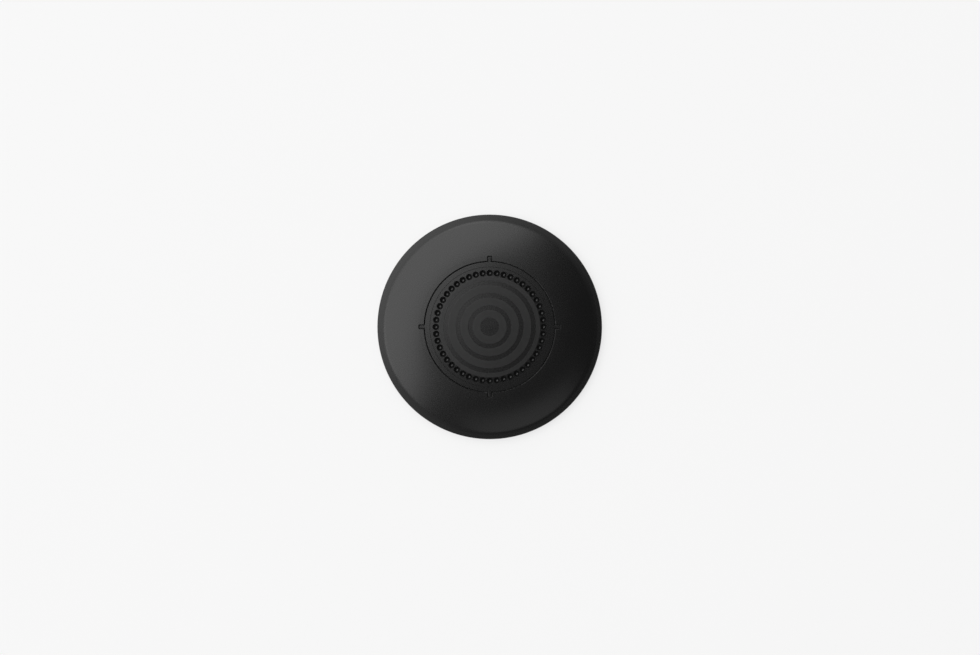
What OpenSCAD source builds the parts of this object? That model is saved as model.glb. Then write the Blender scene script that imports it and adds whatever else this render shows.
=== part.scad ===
// Round adhesive patch that gives a phone a magnetic docking point.
// A crowned cover holds a keyed lock plate with a ring of detent dimples, and
// the plate holds a disc magnet on a steel keeper. A base plate closes the
// cover from below and carries the adhesive pad. Z = 0 is the stuck face.

/* [Body] */
// Outer diameter of the cover
body_d = 62; // [58:0.5:68]
// Height of the crown's top above the stuck face
body_h = 5.6; // [5.3:0.1:6.4]
// Radius of the nearly level front inside the parting line
centre_crown_r = 320; // [250:10:500]
// Radius of the front where it falls away outside the parting line
fall_r = 49; // [45:1:60]
// Distance from the edge to the centre of the round where the front meets the bevel
rim_w = 3.25; // [2.8:0.05:3.7]
// Radius of that round
rim_r = 3.3; // [2.4:0.1:3.8]
// Angle of the bevel below the front, from level
bevel_angle = 36; // [30:1:45]
// Radius of the round between the bevel and the upright side
side_r = 0.4; // [0.2:0.05:0.6]
// Thickness of the cover's roof
wall = 1.2; // [1:0.05:1.4]
// Thickness of the skirt round the base plate
skirt_w = 1.3; // [1.1:0.05:1.6]
// Gap between the skirt and the surface the patch is stuck to
skirt_gap = 0.4; // [0.2:0.05:0.6]

/* [Cover ribs] */
// Number of ribs under the roof
rib_count = 12; // [6:1:24]
// Thickness of each rib
rib_w = 0.8; // [0.6:0.1:1.2]
// Thickness of the collar round the lock plate's flange
collar_w = 1; // [0.8:0.1:1.4]
// Width of the ledge that the base plate is welded to
ledge_w = 1.6; // [1.2:0.1:2]

/* [Lock plate] */
// Diameter of the parting line between cover and lock plate
plate_d = 35.8; // [35.4:0.1:37]
// Width of the parting gap
parting_gap = 0.25; // [0.15:0.01:0.3]
// Radius of the cover's rounded edge along the parting gap
lip_r = 0.13; // [0.08:0.01:0.2]
// Radius of the rounded edges of the plate, its keys and their notches
plate_lip_r = 0.1; // [0.05:0.01:0.15]
// Number of keys round the lock plate
key_count = 4; // [2:1:8]
// Width of each key
key_w = 0.75; // [0.6:0.05:1.2]
// Length of each key outside the parting line
key_l = 1.5; // [1.2:0.05:2]
// Radius of the keys' corners
key_corner_r = 0.2; // [0.15:0.01:0.3]
// Depth of the keys' tops below the front at the parting line
key_drop = 0.15; // [0.1:0.01:0.3]
// Outward slope of the keys' tops, from level
key_slope = 2; // [0:0.5:4]
// How far the flange reaches beyond the keys
flange_over = 1.2; // [0.9:0.05:1.6]
// Thickness of the flange
flange_h = 0.8; // [0.6:0.05:0.9]

/* [Detent ring] */
// Number of dimples
detent_count = 48; // [36:4:48]
// Diameter of the circle through the dimples
detent_pcd = 29.64; // [29.2:0.02:30]
// Diameter of each dimple at the surface
detent_d = 1.8; // [1.5:0.05:1.85]
// Slope of the dimples' conical wall, from level
detent_angle = 50; // [40:1:60]
// Radius of the round at the bottom of each dimple
detent_tip_r = 0.6; // [0.4:0.05:0.8]
// Plastic left under each dimple
detent_floor = 0.5; // [0.4:0.05:0.7]
// Width of the raised border between the parting line and the shallow seat
border_w = 1.35; // [1.2:0.05:1.6]
// Depth of the shallow seat
seat_depth = 0.14; // [0.1:0.01:0.16]
// Slope of the seat's wall, from level
seat_angle = 60; // [50:1:80]

/* [Target rings] */
// Number of raised rings inside the dimples
ring_count = 4; // [2:1:4]
// Inner radius of the first ring
ring_first_r = 2.57; // [2:0.05:2.8]
// Distance from one ring to the next
ring_pitch = 3.38; // [3.1:0.02:3.4]
// Width of each ring
ring_w = 2.08; // [1.4:0.02:2.4]
// Height of the rings
ring_h = 0.05; // [0.03:0.01:0.08]

/* [Magnet] */
// Diameter of the magnet and its keeper
magnet_d = 24; // [20:0.5:24.5]
// Thickness of the magnet
magnet_h = 1.8; // [1:0.1:2]
// Thickness of the steel keeper under the magnet
keeper_h = 0.8; // [0.5:0.1:1]
// Chamfer on the magnet's edges
magnet_break = 0.2; // [0.1:0.05:0.3]
// Wall of the pocket round the magnet
pocket_wall = 1.1; // [0.8:0.1:1.4]

/* [Base] */
// Thickness of the base plate
base_h = 0.8; // [0.6:0.05:1]
// Width of the support ring on the base plate
support_w = 2; // [1.4:0.1:2.6]
// Thickness of the adhesive pad
pad_h = 0.8; // [0.7:0.05:1]
// Distance from the pad's edge to the base plate's edge
pad_margin = 1.1; // [0.6:0.1:3]

/* [Fits] */
// Clearance round pieces that are put in by hand
fit = 0.1; // [0.05:0.01:0.15]

/* [Hidden] */
$fn = 180;

body_r = body_d / 2;
parting_r = plate_d / 2;

// Centres of the front's two arcs, which are tangent at the parting line
centre_z = body_h - centre_crown_r;
parting_slope = asin(parting_r / centre_crown_r);
fall_x = (centre_crown_r - fall_r) * sin(parting_slope);
fall_z = centre_z + (centre_crown_r - fall_r) * cos(parting_slope);

// Height by which each round stands over its neighbours, so that they cross cleanly
proud = 0.001;

// Centre of the rim's round, and the point where it meets the front
rim_x = body_r - rim_w;
rim_z = round_z(rim_x, rim_r) + proud;
rim_touch = rim_x + rim_r * sin(crown_slope_at_round(rim_x, rim_r));
// The bevel runs from the rim's round down to the edge's round
bevel_x1 = rim_x + rim_r * sin(bevel_angle);
bevel_z1 = rim_z + rim_r * cos(bevel_angle) - proud;
side_x = body_r - side_r;
bevel_x2 = side_x + side_r * sin(bevel_angle);
bevel_z2 = bevel_z1 - (bevel_x2 - bevel_x1) * tan(bevel_angle);
side_z = bevel_z2 - side_r * cos(bevel_angle) + proud;

base_z = pad_h;
base_top = base_z + base_h;
base_r = body_r - skirt_w - fit;
magnet_z = base_top + keeper_h;
magnet_top = magnet_z + magnet_h;

plate_r = parting_r - parting_gap / 2;
opening_r = parting_r + parting_gap / 2;
key_end_r = parting_r + key_l;
notch_h = key_w / 2 + parting_gap;
notch_end_r = key_end_r + parting_gap / 2;
key_top_z = crown_z(parting_r) - key_drop;
flange_r = key_end_r + flange_over;
flange_top = crown_z(flange_r) - wall;
flange_z = flange_top - flange_h;
collar_r = flange_r + fit;

detent_r = detent_pcd / 2;
seat_r = plate_r - border_w;
seat_z = crown_z(seat_r) - seat_depth;
// A dimple's wall meets the round at its bottom at this radius and depth
tip_x = detent_tip_r * sin(detent_angle);
tip_depth = (detent_d / 2 - tip_x) * tan(detent_angle);
detent_depth = tip_depth + detent_tip_r * (1 - cos(detent_angle));
ring_end_r = detent_r - detent_d / 2 - 0.05;

pocket_r = magnet_d / 2 + fit;
pocket_out_r = pocket_r + pocket_wall;
core_out_r = seat_r + 0.3;
core_z = crown_z(detent_r + detent_d / 2) - seat_depth - detent_depth - detent_floor;

tall = 2 * body_h;

// Height of the front at a distance r from the axis
function crown_z(r) = round_z(r, 0);

// Slope of the front at a distance r from the axis, in degrees
function crown_slope(r) = crown_slope_at_round(r, 0);

// Height of the centre, at a distance r from the axis, of a round of radius e
// that touches the front from below
function round_z(r, e) =
    r < split_r(e)
        ? centre_z + sqrt(pow(centre_crown_r - e, 2) - r * r)
        : fall_z + sqrt(pow(fall_r - e, 2) - pow(r - fall_x, 2));

// Slope of the front where such a round touches it
function crown_slope_at_round(r, e) =
    r < split_r(e) ? asin(r / (centre_crown_r - e)) : asin((r - fall_x) / (fall_r - e));

// Radius where the front's two arcs meet, at a depth e below the front
function split_r(e) = parting_r - e * sin(parting_slope);

// A band of the section from radius r1 to r2 and height z1 to z2
module band(r1, r2, z1, z2)
    translate([r1, z1]) square([r2 - r1, z2 - z1]);

// Section of everything under the front, lowered by inset
module under_crown(inset = 0) {
    intersection() {
        translate([0, centre_z]) circle(r = centre_crown_r - inset, $fn = 256);
        band(0, split_r(inset), 0, tall);
    }
    intersection() {
        translate([fall_x, fall_z]) circle(r = fall_r - inset, $fn = 256);
        band(split_r(inset), body_r, 0, tall);
    }
}

// Section of the whole outside, down to z_low
module outside(z_low) {
    intersection() {
        under_crown();
        band(0, rim_touch, z_low, tall);
    }
    intersection() {
        translate([rim_x, rim_z]) circle(r = rim_r);
        band(rim_x, bevel_x1 + side_r / 2, z_low, tall);
    }
    polygon([
        [rim_touch, z_low], [bevel_x2, z_low], [bevel_x2, bevel_z2],
        [bevel_x1, bevel_z1], [rim_touch, bevel_z1],
    ]);
    intersection() {
        translate([side_x, side_z]) circle(r = side_r);
        band(bevel_x2 - side_r / 2, body_r, side_z, tall);
    }
    band(bevel_x2, body_r, z_low, side_z);
}

// Repeats its children at even angles round the axis
module round_axis(count)
    for (i = [0 : count - 1]) rotate(i * 360 / count) children();

// Section of the cutter that rounds the front's edge at radius r by e, where
// the solid lies inside it (side -1) or outside it (side 1)
module crown_edge(r, side, e) {
    c = r + side * e;
    difference() {
        band(r - e, r + e, round_z(c, e), tall);
        translate([c, round_z(c, e)]) circle(r = e);
    }
}

// The same for the edge of a level face at height 0, a distance x out
module level_edge(x, side, e) {
    c = x + side * e;
    difference() {
        band(x - e, x + e, -e, 2 * e);
        translate([c, -e]) circle(r = e);
    }
}

// Plan of a key of half width h from start_r to end_r, with round corners
module key_plan(h, start_r, end_r) {
    translate([start_r, -h])
        square([end_r - key_corner_r - start_r, 2 * h]);
    translate([start_r, key_corner_r - h])
        square([end_r - start_r, 2 * (h - key_corner_r)]);
    for (side = [-1, 1])
        translate([end_r - key_corner_r, side * (h - key_corner_r)])
            circle(r = key_corner_r, $fn = 48);
}

// Cutter that rounds a level face's edge by e round such a plan
module key_edge(h, start_r, end_r, side, e) {
    corner_x = end_r - key_corner_r;
    corner_y = h - key_corner_r;
    for (turn = [0, 1]) mirror([0, turn, 0]) {
        translate([corner_x, 0, 0]) rotate([90, 0, -90])
            linear_extrude(corner_x - start_r) level_edge(h, side, e);
        translate([corner_x, corner_y, 0]) rotate_extrude(angle = 90, $fn = 48)
            level_edge(key_corner_r, side, e);
    }
    translate([corner_x, corner_y, 0]) rotate([90, 0, 0])
        linear_extrude(2 * corner_y) level_edge(key_corner_r, side, e);
}

module cover_shell()
    rotate_extrude() difference() {
        outside(skirt_gap);
        // Hollow under the roof, outside the collar
        intersection() {
            under_crown(wall);
            band(collar_r + collar_w, base_r + fit - ledge_w, 0, tall);
        }
        // Pocket for the lock plate's flange, and the opening above it
        band(0, collar_r, 0, flange_top);
        band(0, opening_r, 0, tall);
        // Seat for the base plate
        band(0, base_r + fit, 0, base_top);
        crown_edge(opening_r, 1, lip_r);
    }

module cover_ribs()
    intersection() {
        rotate_extrude() intersection() {
            under_crown(wall / 2);
            band(collar_r + collar_w / 2, base_r + fit - ledge_w / 2, base_top, tall);
        }
        round_axis(rib_count)
            translate([0, -rib_w / 2, 0]) cube([body_r, rib_w, tall]);
    }

// Cutter for the notch that a key stands in, with a rounded edge at the front
module key_notch() {
    mid_r = (parting_r + notch_end_r) / 2;
    translate([0, 0, flange_top - fit])
        linear_extrude(tall) key_plan(notch_h, parting_r - lip_r, notch_end_r);
    translate([mid_r, 0, crown_z(mid_r)])
        rotate([0, crown_slope(mid_r), 0])
            translate([-mid_r, 0, 0])
                key_edge(notch_h, parting_r - lip_r, notch_end_r, 1, plate_lip_r);
}

module cover()
    color([0.05, 0.05, 0.055]) difference() {
        union() {
            cover_shell();
            cover_ribs();
        }
        round_axis(key_count) key_notch();
    }

// Raised rings of the front, as bands of the section
module target_rings()
    for (i = [0 : ring_count - 1])
        band(ring_first_r + i * ring_pitch,
             min(ring_first_r + i * ring_pitch + ring_w, ring_end_r), 0, tall);

// Section of the lock plate's front, from the axis to the parting line
module plate_front() {
    intersection() {
        under_crown(seat_depth);
        band(0, seat_r + 2 * seat_depth, core_z, tall);
    }
    intersection() {
        under_crown(seat_depth - ring_h);
        target_rings();
        band(0, seat_r, core_z, tall);
    }
    difference() {
        intersection() {
            under_crown();
            border();
        }
        crown_edge(plate_r, -1, plate_lip_r);
    }
}

// The border's section, with the seat's sloping wall on its inner side
module border() {
    run = seat_depth / tan(seat_angle);
    polygon([
        [seat_r - run, flange_z], [plate_r, flange_z], [plate_r, seat_z + 2 * seat_depth],
        [seat_r + 2 * run, seat_z + 2 * seat_depth], [seat_r - run, seat_z - seat_depth],
    ]);
}

module plate_disc()
    rotate_extrude() difference() {
        union() {
            plate_front();
            band(0, pocket_out_r, base_top, core_z);
            band(core_out_r, flange_r, flange_z, flange_top);
        }
        band(0, pocket_r, 0, magnet_top);
    }

// Keys that stand on the flange and reach from the plate's border into the notches
module plate_keys()
    round_axis(key_count) difference() {
        translate([0, 0, flange_z + flange_h / 2])
            linear_extrude(key_top_z - flange_z - flange_h / 2)
                key_plan(key_w / 2, plate_r - border_w / 2, key_end_r - parting_gap / 2);
        translate([plate_r, 0, key_top_z]) rotate([0, key_slope, 0]) {
            translate([0, -key_w, 0]) cube([tall, 2 * key_w, tall]);
            translate([-plate_r, 0, 0])
                key_edge(key_w / 2, plate_r, key_end_r - parting_gap / 2, -1, plate_lip_r);
        }
    }

// Cutter for one dimple, whose mouth lies at height 0
module detent()
    rotate_extrude() {
        intersection() {
            translate([0, detent_tip_r - detent_depth]) circle(r = detent_tip_r, $fn = 48);
            band(0, detent_tip_r, -detent_depth, -tip_depth + seat_depth);
        }
        polygon([
            [0, -tip_depth], [tip_x - proud, -tip_depth],
            [detent_d / 2 - proud + seat_depth, seat_depth * tan(detent_angle)],
            [0, seat_depth * tan(detent_angle)],
        ]);
    }

module detents()
    round_axis(detent_count)
        translate([detent_r, 0, crown_z(detent_r) - seat_depth])
            rotate([0, crown_slope(detent_r), 0]) detent();

module lock_plate()
    color([0.04, 0.04, 0.045]) difference() {
        union() {
            plate_disc();
            plate_keys();
        }
        detents();
    }

// Disc with both edges chamfered by c
module chamfered_disc(r, h, c)
    rotate_extrude() polygon([
        [0, 0], [r - c, 0], [r, c], [r, h - c], [r - c, h], [0, h],
    ]);

module magnet()
    color("silver") translate([0, 0, magnet_z])
        chamfered_disc(magnet_d / 2, magnet_h, magnet_break);

module keeper_plate()
    color("slategray") translate([0, 0, base_top])
        cylinder(d = magnet_d, h = keeper_h);

module base_plate()
    color([0.08, 0.08, 0.085]) {
        translate([0, 0, base_z]) cylinder(r = base_r, h = base_h);
        // Ring that presses the lock plate's flange against the cover
        rotate_extrude()
            band(flange_r - fit - support_w, flange_r - fit, base_z, flange_z);
    }

module adhesive_pad()
    color([0.12, 0.12, 0.13])
        cylinder(r = base_r - pad_margin, h = pad_h);

cover();
lock_plate();
magnet();
keeper_plate();
base_plate();
adhesive_pad();
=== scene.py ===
"""Adhesive magnetic phone patch: finishes for its six pieces, and a small studio round it.

Everything is placed in metres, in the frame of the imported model: Z = 0 is the stuck face
and +Z points out of the crowned front. Grains and bumps of the finishes are given in
millimetres, and so are the camera's lens and sensor.
"""

import math

import bpy
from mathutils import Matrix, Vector

bl_info = {
    "name": "Magnetic Phone Patch",
    "version": (1, 0, 0),
    "blender": (4, 5, 0),
    "location": "3D View > Sidebar > Patch",
    "description": "Finishes the pieces of an adhesive magnetic phone patch and lights them",
    "category": "Object",
}

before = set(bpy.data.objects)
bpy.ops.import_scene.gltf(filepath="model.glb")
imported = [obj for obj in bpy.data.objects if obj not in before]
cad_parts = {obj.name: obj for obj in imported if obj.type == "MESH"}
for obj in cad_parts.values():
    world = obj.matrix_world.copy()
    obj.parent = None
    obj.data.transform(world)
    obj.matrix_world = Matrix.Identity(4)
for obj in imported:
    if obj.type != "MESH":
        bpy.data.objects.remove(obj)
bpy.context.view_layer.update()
MM = 0.001

# Sockets of a Mix node for colours, which share their names with its other sockets
MIX_FACTOR = 0
MIX_FIRST = 6
MIX_SECOND = 7
MIX_RESULT = 2

# Grains of the moulded plastic in mm, and how far each moves its roughness either way
FINE_GRAIN = 0.25
FINE_SWING = 0.02
BROAD_GRAIN = 6.0
BROAD_SWING = 0.015
# Relief that the lock plate keeps between its textured rings, as a share of theirs
SMOOTH_RELIEF = 0.1
# How much longer than wide the marks of rolling are in the keeper's steel
ROLLING_STRETCH = 25
# Painted shade: brightness of the foam's hollows against its cell walls, darkened in the colour
# as if shade fell into them
PAINTED_HOLLOW_SHADE = 0.7

# X and Y of the camera, and the width of its sensor in mm
CAMERA_PLACE = (0.00008, -0.00017)
SENSOR_WIDTH = 36.0
SOFTBOX_DISTANCE = 1.3
# Matt grey of the floor, and the share of pure white where it is looked at
FLOOR_GREY = 0.8
FLOOR_WHITE = 0.75
# Powers that narrow the glow of the walls behind the main and the small softbox, and how
# far the second glow is turned round Z from its softbox
KEY_WALL_POWER = 2.2
FILL_WALL_POWER = 12
FILL_WALL_TURN = math.radians(7)
# Z of the directions between which the walls give way to the room overhead, and between
# which the pale band over the floor gives way to the walls
WALL_TOP = (0.68, 0.77)
BAND_TOP = (0.115, 0.135)


class Wire:
    """A socket in a node tree. Arithmetic on it adds Math nodes to that tree."""

    def __init__(self, net, socket):
        self.net = net
        self.socket = socket

    def maths(self, operation, *values):
        return self.net.node("ShaderNodeMath", {"operation": operation}, dict(enumerate(values)))

    def __add__(self, other):
        return self.maths("ADD", self, other)

    def __radd__(self, other):
        return self.maths("ADD", other, self)

    def __sub__(self, other):
        return self.maths("SUBTRACT", self, other)

    def __rsub__(self, other):
        return self.maths("SUBTRACT", other, self)

    def __mul__(self, other):
        return self.maths("MULTIPLY", self, other)

    def __rmul__(self, other):
        return self.maths("MULTIPLY", other, self)

    def __pow__(self, other):
        return self.maths("POWER", self, other)

    def __rpow__(self, other):
        return self.maths("POWER", other, self)

    def larger(self, other):
        return self.maths("MAXIMUM", self, other)

    def between(self, low, high):
        """Turns 0 into low and 1 into high."""
        return low + self * (high - low)

    def step(self, low, high):
        """0 below low and 1 above high, with a smooth rise between them."""
        return self.net.node(
            "ShaderNodeMapRange",
            {"interpolation_type": "SMOOTHSTEP"},
            {"Value": self, "From Min": low, "From Max": high},
        )


class Net:
    """A node tree that starts empty and grows by one node for each call of node."""

    def __init__(self, tree):
        self.tree = tree
        self.tree.nodes.clear()

    def node(self, kind, settings=None, inputs=None, output=0):
        """Adds a node with its settings, then the values or links of its sockets."""
        made = self.tree.nodes.new(kind)
        for name, value in (settings or {}).items():
            setattr(made, name, value)
        for name, value in (inputs or {}).items():
            if isinstance(value, Wire):
                self.tree.links.new(value.socket, made.inputs[name])
            else:
                made.inputs[name].default_value = value
        return Wire(self, made.outputs[output]) if made.outputs else None

    def blend(self, factor, first, second):
        """Mixes two colours."""
        return self.node(
            "ShaderNodeMix",
            {"data_type": "RGBA", "blend_type": "MIX"},
            {MIX_FACTOR: factor, MIX_FIRST: first, MIX_SECOND: second},
            output=MIX_RESULT,
        )

    def place(self):
        """The point on the piece, in the frame of the model."""
        return self.node("ShaderNodeTexCoord", output="Object")

    def part(self, vector, axis):
        """The X, Y or Z of a vector."""
        return self.node("ShaderNodeSeparateXYZ", inputs={"Vector": vector}, output=axis)

    def grain(self, place, size, detail=2.0):
        """Even noise round 0.5 whose grains are about size millimetres across."""
        return self.node(
            "ShaderNodeTexNoise",
            {"noise_dimensions": "3D"},
            {"Vector": place, "Scale": 1 / (size * MM), "Detail": detail, "Roughness": 0.5},
        )

    def bump(self, height, depth):
        """Normals from a height of 0 to 1 that stands for depth millimetres."""
        return self.node(
            "ShaderNodeBump", inputs={"Strength": 1.0, "Distance": depth * MM, "Height": height}
        )


def new_net(name):
    """A new material and its empty node tree."""
    material = bpy.data.materials.new(name)
    material.use_nodes = True
    return material, Net(material.node_tree)


def finish(net, **inputs):
    """Ends a material in one Principled shader with these sockets."""
    named = {name.replace("_", " "): value for name, value in inputs.items()}
    shader = net.node("ShaderNodeBsdfPrincipled", inputs=named)
    net.node("ShaderNodeOutputMaterial", inputs={"Surface": shader})


def dress(node, material):
    """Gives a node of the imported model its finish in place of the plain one."""
    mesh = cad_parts[node].data
    mesh.materials.clear()
    mesh.materials.append(material)


def grey(level):
    """A grey as a colour with alpha."""
    return (level, level, level, 1.0)


class PatchRings(bpy.types.PropertyGroup):
    """The textured target rings of the lock plate."""

    count: bpy.props.IntProperty(
        name="Rings", description="Number of textured rings", default=4, min=1, max=6
    )
    first: bpy.props.FloatProperty(
        name="First radius",
        description="Inner radius of the first ring",
        subtype="DISTANCE",
        default=0.00257,
        precision=5,
    )
    pitch: bpy.props.FloatProperty(
        name="Pitch",
        description="Distance from one ring to the next",
        subtype="DISTANCE",
        default=0.00338,
        precision=5,
    )
    width: bpy.props.FloatProperty(
        name="Width",
        description="Width of each ring",
        subtype="DISTANCE",
        default=0.00208,
        precision=5,
    )
    outer: bpy.props.FloatProperty(
        name="Outer radius",
        description="Where the last ring ends",
        subtype="DISTANCE",
        default=0.01387,
        precision=5,
    )
    fade: bpy.props.FloatProperty(
        name="Fade",
        description="How far the texture fades on either side of a ring's edge",
        subtype="DISTANCE",
        default=0.00005,
        precision=5,
    )


class PatchFinish(bpy.types.PropertyGroup):
    """Colours and gloss of the pieces."""

    black: bpy.props.FloatVectorProperty(
        name="Black plastic",
        description="Colour of the cover and the lock plate",
        subtype="COLOR",
        size=4,
        default=(0.0035, 0.0035, 0.0035, 1.0),
        min=0,
        max=1,
    )
    gloss: bpy.props.FloatProperty(
        name="Satin roughness",
        description="Roughness of the smooth plastic",
        subtype="FACTOR",
        default=0.27,
        min=0,
        max=1,
    )
    texture: bpy.props.FloatProperty(
        name="Ring roughness",
        description="Roughness of the textured rings",
        subtype="FACTOR",
        default=0.405,
        min=0,
        max=1,
    )
    matt: bpy.props.FloatVectorProperty(
        name="Matt plastic",
        description="Colour of the base plate",
        subtype="COLOR",
        size=4,
        default=(0.008, 0.008, 0.008, 1.0),
        min=0,
        max=1,
    )
    foam: bpy.props.FloatVectorProperty(
        name="Foam",
        description="Colour of the adhesive foam",
        subtype="COLOR",
        size=4,
        default=(0.022, 0.022, 0.024, 1.0),
        min=0,
        max=1,
    )
    steel: bpy.props.FloatVectorProperty(
        name="Steel",
        description="Colour of the zinc plated keeper",
        subtype="COLOR",
        size=4,
        default=(0.48, 0.49, 0.51, 1.0),
        min=0,
        max=1,
    )
    nickel: bpy.props.FloatVectorProperty(
        name="Nickel",
        description="Colour of the plated magnet",
        subtype="COLOR",
        size=4,
        default=(0.66, 0.63, 0.58, 1.0),
        min=0,
        max=1,
    )


class PatchStudio(bpy.types.PropertyGroup):
    """Floor, light and camera."""

    key_power: bpy.props.FloatProperty(
        name="Key light", description="Radiance of the main softbox", default=2.1, min=0
    )
    key_azimuth: bpy.props.FloatProperty(
        name="Key azimuth",
        description="Direction of the main softbox round Z",
        subtype="ANGLE",
        default=math.radians(145),
    )
    key_near: bpy.props.FloatProperty(
        name="Key near edge",
        description="Angle from the zenith to the main softbox's near edge",
        subtype="ANGLE",
        default=math.radians(6.3),
    )
    key_far: bpy.props.FloatProperty(
        name="Key far edge",
        description="Angle from the zenith to the main softbox's far edge",
        subtype="ANGLE",
        default=math.radians(45.5),
    )
    key_width: bpy.props.FloatProperty(
        name="Key width",
        description="Angle across the main softbox, as seen from the patch",
        subtype="ANGLE",
        default=math.radians(84),
    )
    fill_power: bpy.props.FloatProperty(
        name="Fill light", description="Radiance of the small softbox", default=0.6, min=0
    )
    fill_azimuth: bpy.props.FloatProperty(
        name="Fill azimuth",
        description="Direction of the small softbox round Z",
        subtype="ANGLE",
        default=math.radians(290),
    )
    fill_near: bpy.props.FloatProperty(
        name="Fill near edge",
        description="Angle from the zenith to the small softbox's near edge",
        subtype="ANGLE",
        default=math.radians(24),
    )
    fill_far: bpy.props.FloatProperty(
        name="Fill far edge",
        description="Angle from the zenith to the small softbox's far edge",
        subtype="ANGLE",
        default=math.radians(48),
    )
    fill_width: bpy.props.FloatProperty(
        name="Fill width",
        description="Angle across the small softbox, as seen from the patch",
        subtype="ANGLE",
        default=math.radians(36),
    )
    overhead: bpy.props.FloatProperty(
        name="Overhead", description="Brightness of the room overhead", default=0.09, min=0
    )
    bright_wall: bpy.props.FloatProperty(
        name="Bright wall",
        description="Brightness of the wall on the key side",
        default=1.7,
        min=0,
    )
    dark_wall: bpy.props.FloatProperty(
        name="Dark wall", description="Brightness of the opposite wall", default=0.1, min=0
    )
    horizon: bpy.props.FloatProperty(
        name="Horizon",
        description="Brightness of the pale band just over the floor",
        default=0.85,
        min=0,
    )
    fill_wall: bpy.props.FloatProperty(
        name="Fill wall",
        description="Brightness that the wall on the fill side adds",
        default=0.07,
        min=0,
    )
    floor: bpy.props.FloatProperty(
        name="Floor size", description="Side of the floor", subtype="DISTANCE", default=8.0
    )
    lens: bpy.props.FloatProperty(
        name="Lens", description="Focal length of the camera", unit="CAMERA", default=100.0
    )
    height: bpy.props.FloatProperty(
        name="Camera height",
        description="Height of the camera over the stuck face",
        subtype="DISTANCE",
        default=0.7527,
    )


class PatchSettings(bpy.types.PropertyGroup):
    """Everything that can be changed on the patch and its studio."""

    rings: bpy.props.PointerProperty(type=PatchRings)
    finish: bpy.props.PointerProperty(type=PatchFinish)
    studio: bpy.props.PointerProperty(type=PatchStudio)


class PATCH_OT_cover(bpy.types.Operator):
    """Finish the cover in satin black moulded plastic"""

    bl_idname = "patch.cover"
    bl_label = "Cover"

    def execute(self, context):
        look = context.scene.patch.finish
        material, net = new_net("satin_black_plastic")
        place = net.place()
        fine = net.grain(place, size=FINE_GRAIN)
        broad = net.grain(place, size=BROAD_GRAIN)
        uneven = fine.between(-FINE_SWING, FINE_SWING)
        uneven = uneven + broad.between(-BROAD_SWING, BROAD_SWING)
        finish(
            net,
            Base_Color=tuple(look.black),
            Roughness=look.gloss + uneven,
            Normal=net.bump(fine, depth=0.0006),
        )
        dress("cover", material)
        return {"FINISHED"}


def ring_mask(net, place, rings):
    """1 on the target rings and 0 between them."""
    x = net.part(place, "X")
    y = net.part(place, "Y")
    radius = (x * x + y * y) ** 0.5
    mask = 0
    for index in range(rings.count):
        inner = rings.first + index * rings.pitch
        outer = min(inner + rings.width, rings.outer)
        begun = radius.step(inner - rings.fade, inner + rings.fade)
        ended = radius.step(outer - rings.fade, outer + rings.fade)
        mask = mask + begun * (1 - ended)
    return mask


class PATCH_OT_lock_plate(bpy.types.Operator):
    """Finish the lock plate, with its textured target rings"""

    bl_idname = "patch.lock_plate"
    bl_label = "Lock plate"

    def execute(self, context):
        look = context.scene.patch.finish
        material, net = new_net("ringed_black_plastic")
        place = net.place()
        mask = ring_mask(net, place, context.scene.patch.rings)
        fine = net.grain(place, size=FINE_GRAIN)
        spark = net.grain(place, size=0.12, detail=3.0)
        uneven = fine.between(-FINE_SWING, FINE_SWING)
        finish(
            net,
            Base_Color=tuple(look.black),
            Roughness=mask.between(look.gloss, look.texture) + uneven,
            Normal=net.bump(fine * SMOOTH_RELIEF + mask * spark, depth=0.006),
        )
        dress("lock_plate", material)
        return {"FINISHED"}


class PATCH_OT_magnet(bpy.types.Operator):
    """Finish the disc magnet in bright nickel plate"""

    bl_idname = "patch.magnet"
    bl_label = "Magnet"

    def execute(self, context):
        look = context.scene.patch.finish
        material, net = new_net("nickel_plate")
        place = net.place()
        cloud = net.grain(place, size=3.0)
        pits = net.grain(place, size=0.3)
        finish(
            net,
            Base_Color=tuple(look.nickel),
            Metallic=1.0,
            Roughness=cloud.between(0.18, 0.3),
            Normal=net.bump(pits, depth=0.001),
        )
        dress("magnet", material)
        return {"FINISHED"}


class PATCH_OT_keeper_plate(bpy.types.Operator):
    """Finish the keeper in zinc plated sheet steel"""

    bl_idname = "patch.keeper_plate"
    bl_label = "Keeper plate"

    def execute(self, context):
        look = context.scene.patch.finish
        material, net = new_net("zinc_plated_steel")
        place = net.place()
        rolled = net.node(
            "ShaderNodeMapping",
            {"vector_type": "POINT"},
            {"Vector": place, "Scale": (1 / ROLLING_STRETCH, 1, 1)},
        )
        lines = net.grain(rolled, size=0.12)
        cloud = net.grain(place, size=2.0)
        finish(
            net,
            Base_Color=tuple(look.steel),
            Metallic=1.0,
            Roughness=cloud.between(0.3, 0.4) + lines * 0.1,
            Normal=net.bump(lines, depth=0.002),
        )
        dress("keeper_plate", material)
        return {"FINISHED"}


class PATCH_OT_base_plate(bpy.types.Operator):
    """Finish the base plate in matt black moulded plastic"""

    bl_idname = "patch.base_plate"
    bl_label = "Base plate"

    def execute(self, context):
        look = context.scene.patch.finish
        material, net = new_net("matt_black_plastic")
        place = net.place()
        fine = net.grain(place, size=0.2)
        finish(
            net,
            Base_Color=tuple(look.matt),
            Roughness=fine.between(0.45, 0.55),
            Normal=net.bump(fine, depth=0.004),
        )
        dress("base_plate", material)
        return {"FINISHED"}


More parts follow.
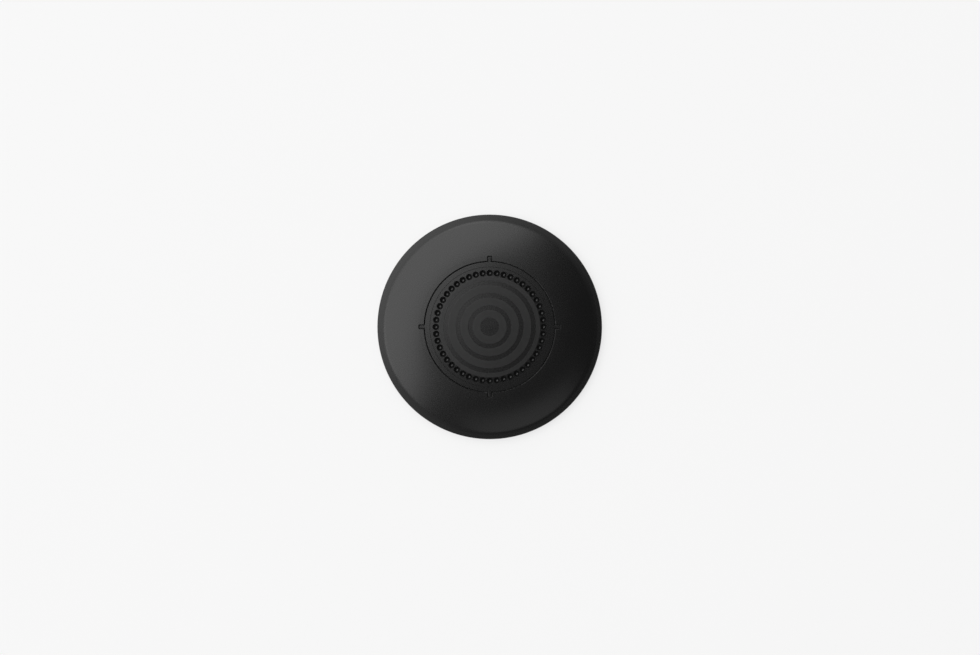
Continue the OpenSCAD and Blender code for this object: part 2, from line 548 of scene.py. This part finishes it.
class PATCH_OT_adhesive_pad(bpy.types.Operator):
    """Finish the adhesive pad as closed-cell foam tape"""

    bl_idname = "patch.adhesive_pad"
    bl_label = "Adhesive pad"

    def execute(self, context):
        look = context.scene.patch.finish
        material, net = new_net("foam_tape")
        place = net.place()
        cell = 0.22 * MM
        cells = net.node(
            "ShaderNodeTexVoronoi",
            {"feature": "F1"},
            {"Vector": place, "Scale": 1 / cell, "Randomness": 1.0},
        )
        cloud = net.grain(place, size=4.0)
        # Painted shade: the hollows between the foam's cell walls are darkened in the base
        # colour
        painted_hollow_shade = tuple(level * PAINTED_HOLLOW_SHADE for level in look.foam[:3]) + (1.0,)
        finish(
            net,
            Base_Color=net.blend(cells.step(0.1, 0.7), painted_hollow_shade, tuple(look.foam)),
            Roughness=cloud.between(0.62, 0.72),
            Normal=net.bump(cells, depth=0.03),
        )
        dress("adhesive_pad", material)
        return {"FINISHED"}


def add_softbox(scene, name, azimuth, near, far, width, radiance):
    """A rectangular softbox that faces the patch, from near to far off the zenith.

    An area lamp of some radiance gives off pi times that in watts from each square metre.
    """
    lamp = bpy.data.lights.new(name, "AREA")
    lamp.shape = "RECTANGLE"
    lamp.size = 2 * SOFTBOX_DISTANCE * math.tan((far - near) / 2)
    lamp.size_y = 2 * SOFTBOX_DISTANCE * math.tan(width / 2)
    lamp.energy = radiance * math.pi * lamp.size * lamp.size_y
    softbox = bpy.data.objects.new(name, lamp)
    scene.collection.objects.link(softbox)
    tilt = (near + far) / 2
    outward = Vector((math.cos(azimuth), math.sin(azimuth), 0)) * math.sin(tilt)
    softbox.location = (outward + Vector((0, 0, math.cos(tilt)))) * SOFTBOX_DISTANCE
    softbox.rotation_euler = (0, tilt, azimuth)
    softbox.visible_camera = False


def facing(net, direction, azimuth):
    """1 where a level direction points to an azimuth, and 0 where it points away from it."""
    side = (math.cos(azimuth), math.sin(azimuth), 0)
    along = net.node(
        "ShaderNodeVectorMath",
        {"operation": "DOT_PRODUCT"},
        {0: direction, 1: side},
        output="Value",
    )
    return 0.5 + along * 0.5


class PATCH_OT_stage(bpy.types.Operator):
    """Lay the floor, light the room and set the camera straight over the patch"""

    bl_idname = "patch.stage"
    bl_label = "Floor, light and camera"

    def execute(self, context):
        studio = context.scene.patch.studio
        self.lay_floor(context.scene, studio)
        self.light_room(context.scene, studio)
        self.set_camera(context.scene, studio)
        context.scene.view_settings.view_transform = "Standard"
        return {"FINISHED"}

    def lay_floor(self, scene, studio):
        half = studio.floor / 2
        mesh = bpy.data.meshes.new("floor")
        corners = [(-half, -half, 0), (half, -half, 0), (half, half, 0), (-half, half, 0)]
        mesh.from_pydata(corners, [], [(0, 1, 2, 3)])
        floor = bpy.data.objects.new("floor", mesh)
        scene.collection.objects.link(floor)
        material, net = new_net("white_floor")
        seen = net.node("ShaderNodeLightPath", output="Is Camera Ray")
        mirrored = net.node("ShaderNodeLightPath", output="Is Glossy Ray")
        through = net.node("ShaderNodeLightPath", output="Is Transmission Ray")
        share = seen.larger(mirrored).larger(through) * FLOOR_WHITE
        matt = net.node("ShaderNodeBsdfDiffuse", inputs={"Color": grey(FLOOR_GREY)})
        white = net.node("ShaderNodeEmission", inputs={"Color": grey(1.0), "Strength": 1.0})
        mixed = net.node("ShaderNodeMixShader", inputs={0: share, 1: matt, 2: white})
        net.node("ShaderNodeOutputMaterial", inputs={"Surface": mixed})
        mesh.materials.append(material)

    def light_room(self, scene, studio):
        add_softbox(
            scene,
            "key_softbox",
            studio.key_azimuth,
            studio.key_near,
            studio.key_far,
            studio.key_width,
            studio.key_power,
        )
        add_softbox(
            scene,
            "fill_softbox",
            studio.fill_azimuth,
            studio.fill_near,
            studio.fill_far,
            studio.fill_width,
            studio.fill_power,
        )
        world = bpy.data.worlds.new("soft_room")
        scene.world = world
        world.use_nodes = True
        net = Net(world.node_tree)
        direction = net.node("ShaderNodeTexCoord", output="Generated")
        height = net.part(direction, "Z")
        key_side = facing(net, direction, studio.key_azimuth) ** KEY_WALL_POWER
        fill_turned = studio.fill_azimuth + FILL_WALL_TURN
        fill_side = facing(net, direction, fill_turned) ** FILL_WALL_POWER
        wall = key_side.between(studio.dark_wall, studio.bright_wall)
        wall = wall + fill_side * studio.fill_wall
        level = height.step(*WALL_TOP).between(wall, studio.overhead)
        level = height.step(*BAND_TOP).between(studio.horizon, level)
        sky = net.node("ShaderNodeBackground", inputs={"Color": grey(1.0), "Strength": level})
        net.node("ShaderNodeOutputWorld", inputs={"Surface": sky})

    def set_camera(self, scene, studio):
        camera = bpy.data.cameras.new("camera")
        camera.lens = studio.lens
        camera.sensor_width = SENSOR_WIDTH
        camera.clip_start = 0.01
        camera.clip_end = 50.0
        view = bpy.data.objects.new("camera", camera)
        scene.collection.objects.link(view)
        view.location = (*CAMERA_PLACE, studio.height)
        view.rotation_euler = (0, 0, 0)
        scene.camera = view


class VIEW3D_PT_patch(bpy.types.Panel):
    """Sidebar panel with the pieces of the patch and its settings"""

    bl_label = "Phone Patch"
    bl_idname = "VIEW3D_PT_patch"
    bl_space_type = "VIEW_3D"
    bl_region_type = "UI"
    bl_category = "Patch"

    def draw(self, context):
        for operator in OPERATORS:
            self.layout.operator(operator.bl_idname)
        patch = context.scene.patch
        for group in (patch.rings, patch.finish, patch.studio):
            box = self.layout.box()
            for name in type(group).__annotations__:
                box.prop(group, name)


OPERATORS = (
    PATCH_OT_cover,
    PATCH_OT_lock_plate,
    PATCH_OT_magnet,
    PATCH_OT_keeper_plate,
    PATCH_OT_base_plate,
    PATCH_OT_adhesive_pad,
    PATCH_OT_stage,
)
GROUPS = (PatchRings, PatchFinish, PatchStudio, PatchSettings)
CLASSES = GROUPS + OPERATORS + (VIEW3D_PT_patch,)


def register():
    for cls in CLASSES:
        bpy.utils.register_class(cls)
    bpy.types.Scene.patch = bpy.props.PointerProperty(type=PatchSettings)


def unregister():
    del bpy.types.Scene.patch
    for cls in reversed(CLASSES):
        bpy.utils.unregister_class(cls)


def main():
    register()
    bpy.ops.patch.cover()
    bpy.ops.patch.lock_plate()
    bpy.ops.patch.magnet()
    bpy.ops.patch.keeper_plate()
    bpy.ops.patch.base_plate()
    bpy.ops.patch.adhesive_pad()
    bpy.ops.patch.stage()


if __name__ == "__main__":
    main()
